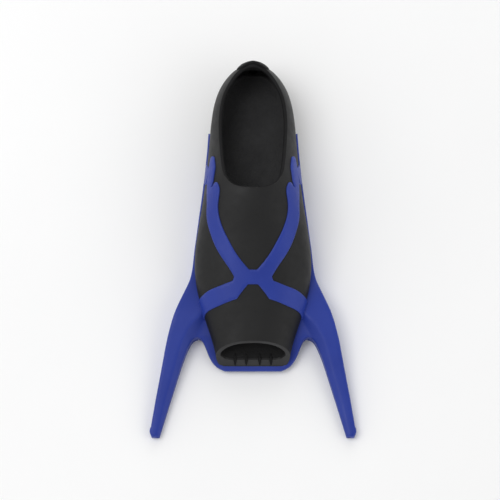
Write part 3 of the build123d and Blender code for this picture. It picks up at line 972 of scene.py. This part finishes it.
def closed_form(outer):
    """Closed copy of the form, without the foot opening, for cutting."""
    stations, first, last = shoe_stations()
    grid = outer.copy()
    for i in range(first, last + 1):
        side = half_section(stations[i], pi / 2, SIDE_POINTS)
        grid[i, :SIDE_POINTS, 0] = side[:, 0]
        grid[i, :SIDE_POINTS, 2] = side[:, 1]
    skin = shrunk(grid)[stations < FRAME_END_Y + 20]
    front = skin[0].mean(axis=0) * np.array([0, 1, 1])
    back = skin[-1].mean(axis=0) * np.array([0, 1, 1])
    shape = Shape()
    shape.both(skin)
    for row, tip, flip in ((skin[0], front, True), (skin[-1], back, False)):
        fan = np.stack([row, np.repeat(tip[None], len(row), axis=0)])
        shape.both(fan, flip)
    return new_piece("form_room", shape.points, shape.faces, BLUE, weld=0.02)


def split_frame(body):
    """Parts the finished frame at the seams, keeping its shading across them."""
    mesh = body.data
    work = bmesh.new()
    work.from_mesh(mesh)
    for side in (-1, 1):
        (x0, y0), (x1, y1) = SEAM
        near = [f for f in work.faces if side * f.calc_center_median().x / MM > 50]
        geometry = near + list({e for f in near for e in f.edges}) + list({v for f in near for v in f.verts})
        spot = Vector(place([(side * x0, y0, 0)])[0])
        normal = Vector((-(y1 - y0) * side, (x1 - x0), 0)).normalized()
        bmesh.ops.bisect_plane(work, geom=geometry, plane_co=spot, plane_no=normal, dist=1e-7)
    work.to_mesh(mesh)
    work.free()
    mesh.shade_smooth()
    mesh.set_sharp_from_angle(angle=radians(38))
    corner = np.array([n.vector[:] for n in mesh.corner_normals])
    points = np.array([v.co[:] for v in mesh.vertices])
    groups = {"frame": [], "arm_left": [], "arm_right": []}
    (x0, y0), (x1, y1) = SEAM
    for face in mesh.polygons:
        x, y, z = np.array(face.center) / MM - (0, Y_SHIFT, 0)
        ahead = y < y0 + (abs(x) - x0) * (y1 - y0) / (x1 - x0) and abs(x) > 56
        name = ("arm_right" if x > 0 else "arm_left") if ahead else "frame"
        groups[name].append(face)
    pieces = {}
    for name, faces in groups.items():
        used = sorted({v for face in faces for v in face.vertices})
        index = {v: k for k, v in enumerate(used)}
        part = bpy.data.meshes.new(name)
        part.from_pydata(points[used].tolist(), [], [[index[v] for v in face.vertices] for face in faces])
        part.materials.append(BLUE)
        part.shade_smooth()
        loops = [corner[k] for face in faces for k in face.loop_indices]
        part.normals_split_custom_set([tuple(n) for n in loops])
        piece = bpy.data.objects.new("blue_" + name, part)
        bpy.context.scene.collection.objects.link(piece)
        pieces[name] = piece
    bpy.data.objects.remove(body)
    return pieces


def blue_frame():
    body = cut(frame_body(), *blade_cutters(), closed_form(OUTER))
    pieces = split_frame(body)
    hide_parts("toe_frame", "rail_left", "rail_right")
    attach(pieces["frame"], "pocket")
    for side, name in ((-1, "arm_left"), (1, "arm_right")):
        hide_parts(name)
        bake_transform(pieces[name])


blue_frame()


# ---- footbed --------
def rib(x):
    """Lens-shaped rib that runs from the footbed out over the toe lip."""
    rows = []
    for u in np.linspace(-1, 1, 21):
        width = 1.7 * (1 - u * u) ** 0.75
        y = 9.6 + 6.4 * u
        base = FOOTBED_Z - 0.3 if y > 9.2 else FOOTBED_Z - 0.3 - (9.2 - y) * 0.92
        height = 2.2 * (1 - u * u) ** 0.6
        angles = np.linspace(0, pi, 11)
        x_row = x + width * np.cos(angles)
        lean = 0.7 * height * np.sin(angles) * float(ramp(-y, -10.5, -7.5))
        rows.append(np.stack([x_row, y - lean, base + height * np.sin(angles)], axis=1))
    return np.array(rows)


def bed_grid(height, gap, rows, count=30):
    """Right half of the shoe's inside below a height, drawn in by a gap, from the wall to the middle."""
    grid = []
    for ring in rows:
        run = length_along(ring)
        z = ring[:, 2]
        low = np.nonzero(z < height)[0]
        start = run[low[0]] if len(low) else run[-1]
        at = np.linspace(start, run[-1], count)
        part = np.stack([np.interp(at, run, ring[:, k]) for k in range(3)], axis=1)
        part[:, 0] = np.maximum(part[:, 0] - gap * ramp(part[:, 0], 0, 4), 0)
        grid.append(part)
    return np.array(grid)


def footbed():
    """Insole shaped as a shallow cup that hugs the walls, with four ribs at the toe."""
    rows = [ring for ring in INNER if ring[-1, 1] > 9.4 and ring[:, 2].min() < 15.5]
    top = bed_grid(24.0, 0.35, rows)
    top[:, :, 2] = soft_floor(top[:, :, 2] - 0.25, FOOTBED_Z, 1.8)
    bottom = top - np.array([0, 0, 1.2])
    shape = Shape()
    shape.both(top)
    shape.both(bottom, flip=True)
    shape.both(np.stack([top[:, 0], bottom[:, 0]], axis=1), flip=True)
    for end, flip in ((0, True), (-1, False)):
        shape.both(np.stack([top[end], bottom[end]]), flip)
    for x in RIB_XS:
        shape.grid(rib(x))
    bed = new_piece("footbed_pad", shape.points, shape.faces, BED, weld=0.01, sharp=50)
    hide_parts("footbed")
    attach(bed, "pocket")


footbed()


# ---- heel pull tab --------
def back_of_form(x, z):
    """The y of the form's rear surface at x and height z."""
    ys = np.linspace(262.0, BACK_Y, 800)
    half = form_half_width(ys, np.full(800, z))
    covers = ys[half > max(abs(x), 0.1)]
    return float(covers[-1]) if len(covers) else float(ys[half.argmax()])


def heel_tab():
    """Curved lip behind the heel that fingers pull on, growing out of the shoe at its foot."""
    front, back = [], []
    for u in np.linspace(-1, 1, 49):
        x = TAB_HALF * sin(u * pi / 2)
        side = 1 - abs(x / TAB_HALF) ** 3
        crown = TAB_FOOT_Z + (TAB_TOP_Z - TAB_FOOT_Z) * max(side, 0) ** 0.55
        thick = 0.05 + (TAB_THICK - 0.05) * max(side, 0) ** 0.7
        column_in, column_out = [], []
        for v in np.linspace(0, 1, 17):
            z = TAB_LOW_Z + (crown - TAB_LOW_Z) * v
            rise = float(ramp(z, TAB_LOW_Z - 2, TAB_LOW_Z + 12))
            y = back_of_form(x, z) - 0.6 + 1.0 * rise
            column_in.append((x, y, z))
            column_out.append((x, y + 0.05 + thick * rise, z))
        front.append(column_in)
        back.append(column_out)
    front, back = np.array(front), np.array(back)
    lip = []
    for angle in np.linspace(0, pi, 9):
        mid = (front[:, -1] + back[:, -1]) / 2 + (back[:, -1] - front[:, -1]) / 2 * cos(angle)
        lip.append(mid + np.array([0, 0, 0.9 * sin(angle)]))
    shape = Shape()
    shape.grid(front)
    shape.grid(back, flip=True)
    shape.grid(np.array(lip))
    for end in (0, -1):
        shape.grid(np.stack([front[end], back[end]]), flip=end == 0)
    shape.grid(np.stack([front[:, 0], back[:, 0]]))
    tab = new_piece("pull_tab", shape.points, shape.faces, RIM_RUBBER, weld=0.01, sharp=50)
    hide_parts("heel_pull_tab")
    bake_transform(tab)


heel_tab()


# ---- carried-over hard parts --------
def give(node, material):
    """Gives a carried-over part its finish."""
    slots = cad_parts[node].material_slots
    for slot in slots:
        slot.material = material


for node, material in (("sole_plate", PLATE_BLUE), ("bridge_plate", PLATE_BLUE), ("bridge_screw_left", STEEL),
                       ("bridge_screw_right", STEEL), ("threaded_insert_front", BRASS),
                       ("threaded_insert_rear", BRASS), ("heel_tread", TREAD)):
    give(node, material)


# ---- studio --------
def floor():
    nodes = Nodes("floor_finish")
    shade = nodes.shades(nodes.noise(3.0), (0.3, (0.93, 0.93, 0.93)), (0.7, (0.95, 0.95, 0.95)))
    material = nodes.finish(shade, 0.8, None)
    mesh = bpy.data.meshes.new("floor")
    size = 6.0
    corners = [(-size, -size, 0), (size, -size, 0), (size, size, 0), (-size, size, 0)]
    mesh.from_pydata(corners, [], [(0, 1, 2, 3)])
    mesh.materials.append(material)
    plane = bpy.data.objects.new("floor", mesh)
    bpy.context.scene.collection.objects.link(plane)
    plane.location.z = -0.0005


def area_light(name, place_at, target, size, power):
    light = bpy.data.lights.new(name, "AREA")
    light.size = size
    light.energy = power
    lamp = bpy.data.objects.new(name, light)
    lamp.location = place_at
    aim = Vector(target) - Vector(place_at)
    lamp.rotation_euler = aim.to_track_quat("-Z", "Y").to_euler()
    bpy.context.scene.collection.objects.link(lamp)


def sky():
    """White all round the horizon and dimmer overhead, like a light tent with an opening for the camera."""
    world = bpy.data.worlds.new("studio")
    world.use_nodes = True
    tree = world.node_tree
    coords = tree.nodes.new("ShaderNodeTexCoord")
    split = tree.nodes.new("ShaderNodeSeparateXYZ")
    shade = tree.nodes.new("ShaderNodeValToRGB")
    tree.links.new(coords.outputs["Generated"], split.inputs["Vector"])
    tree.links.new(split.outputs["Z"], shade.inputs["Fac"])
    tree.links.new(shade.outputs["Color"], tree.nodes["Background"].inputs["Color"])
    stops = shade.color_ramp.elements
    stops[0].position, stops[0].color = 0.45, (1, 1, 1, 1)
    stops[1].position, stops[1].color = 0.85, (0.31, 0.31, 0.31, 1)
    tree.nodes["Background"].inputs["Strength"].default_value = 1.0
    bpy.context.scene.world = world


def studio():
    sky()
    area_light("key", (-1.0, 0.1, 2.2), (0, 0, 0.03), 1.4, 21)
    area_light("fill", (1.6, -0.6, 1.6), (0, 0, 0.03), 1.4, 5)
    area_light("back", (0.2, 1.9, 1.1), (0, 0, 0.03), 1.4, 7)
    bpy.context.scene.view_settings.view_transform = "Standard"


def camera():
    target = Vector((-0.003, -0.001, 0.025))
    elevation = radians(75)
    distance = 3.5
    view = bpy.data.cameras.new("camera")
    view.sensor_width = 36
    view.lens = 36 * distance / 0.5
    view.clip_end = 20
    eye = bpy.data.objects.new("camera", view)
    eye.location = target + Vector((0, -cos(elevation), sin(elevation))) * distance
    eye.rotation_euler = (target - eye.location).to_track_quat("-Z", "Y").to_euler()
    bpy.context.scene.collection.objects.link(eye)
    bpy.context.scene.camera = eye


floor()
studio()
camera()
